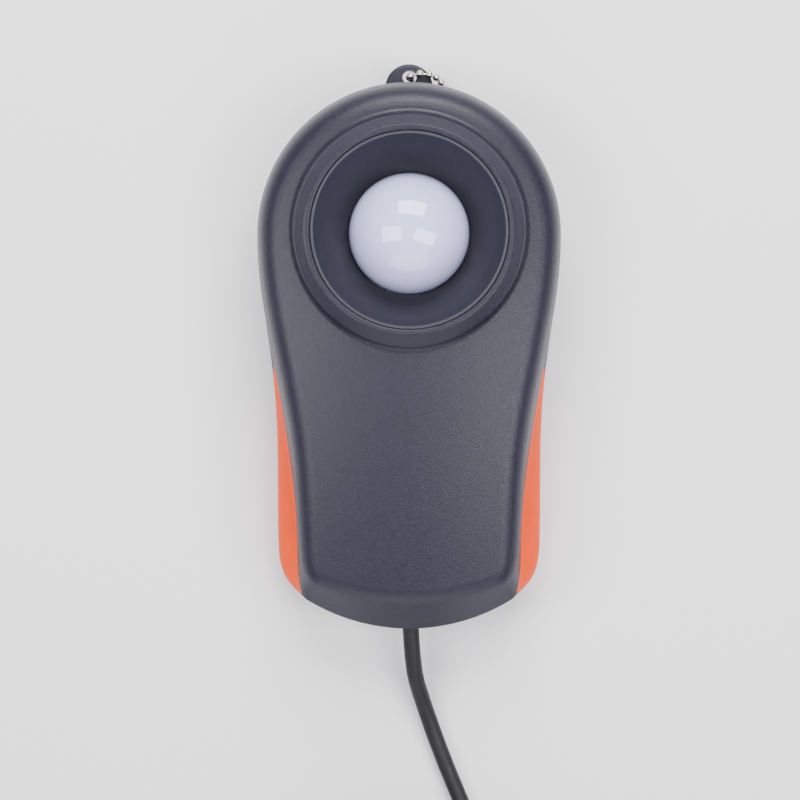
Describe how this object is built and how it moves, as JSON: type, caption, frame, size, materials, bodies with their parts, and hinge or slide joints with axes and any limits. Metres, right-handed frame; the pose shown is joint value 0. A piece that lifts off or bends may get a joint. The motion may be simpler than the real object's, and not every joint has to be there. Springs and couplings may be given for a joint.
{
  "type": "light meter sensor head",
  "caption": "Mouse-shaped light meter sensor head with a white diffuser dome in a raised bowl, side grips, a lug with a ball chain and a lead ending in a jack plug.",
  "frame": {"origin": "on the dome's optical axis, in the plane of the back face the head lies on", "axes": "+Z out of the dome, away from the back face; +Y along the head, from the cable end to the lug; +X to the right seen from the dome's side"},
  "size_m": [0.0644, 0.2255, 0.028],
  "materials": {
    "hood_plastic": "fine spark-eroded matt",
    "shell_plastic": "fine spark-eroded matt",
    "grip_rubber": "satin",
    "cup_plastic": "smooth satin",
    "opal_acrylic": "glossy opal",
    "seal_rubber": "matt",
    "black_nylon": "matt",
    "zinc_screw": "bright zinc",
    "filter_glass": "polished",
    "gold_can": "gold flash",
    "window_glass": "polished",
    "fibreglass_board": "solder mask",
    "blue_moulding": "satin",
    "trimmer_brass": "turned",
    "epoxy_package": "matt",
    "tantalum_yellow": "satin",
    "connector_nylon": "natural",
    "wire_insulation": "satin",
    "cable_jacket": "matt",
    "plug_moulding": "satin",
    "nickel": "nickel plate",
    "insulator": "satin"
  },
  "bodies": {
    "housing": {"front_shell": "hood_plastic", "rear_shell": "shell_plastic", "grip_left": "grip_rubber", "grip_right": "grip_rubber", "sensor_cup": "cup_plastic", "diffuser_dome": "opal_acrylic", "dome_gasket": "seal_rubber", "cable_grommet": "seal_rubber", "dome_retainer": "black_nylon", "filter_holder": "black_nylon", "cable_clamp": "black_nylon", "cable_tie": "black_nylon", "retainer_screws": "zinc_screw", "board_screws": "zinc_screw", "clamp_screws": "zinc_screw", "case_screws": "zinc_screw", "colour_filter": "filter_glass", "photodiode": "gold_can", "photodiode_leads": "gold_can", "photodiode_window": "window_glass", "circuit_board": "fibreglass_board", "trimmer_body": "blue_moulding", "amplifier_chip": "epoxy_package", "resistors": "epoxy_package", "capacitors": "tantalum_yellow", "wire_header": "connector_nylon", "wire_housing": "connector_nylon", "inner_wires": "wire_insulation", "cable_run": "cable_jacket", "cable_coil": "cable_jacket", "cable_tail": "cable_jacket", "plug_body": "plug_moulding", "plug_relief": "plug_moulding", "plug_contacts": "nickel", "plug_insulators": "insulator"},
    "trimmer": {"trimmer_rotor": "trimmer_brass"},
    "chain": {"chain_beads": "nickel", "chain_links": "nickel", "chain_connector": "nickel"}
  },
  "joints": [
    {"name": "chain_swing", "type": "hinge", "parent": "housing", "child": "chain", "pos_m": [0.0001, 0.0317, 0.00775], "axis": [0, 0, 1], "range_deg": [0, 150]},
    {"name": "trimmer_turn", "type": "hinge", "parent": "housing", "child": "trimmer", "pos_m": [0.008, -0.025, 0.0118], "axis": [0, 0, 1], "range_deg": [-130, 130]}
  ]
}
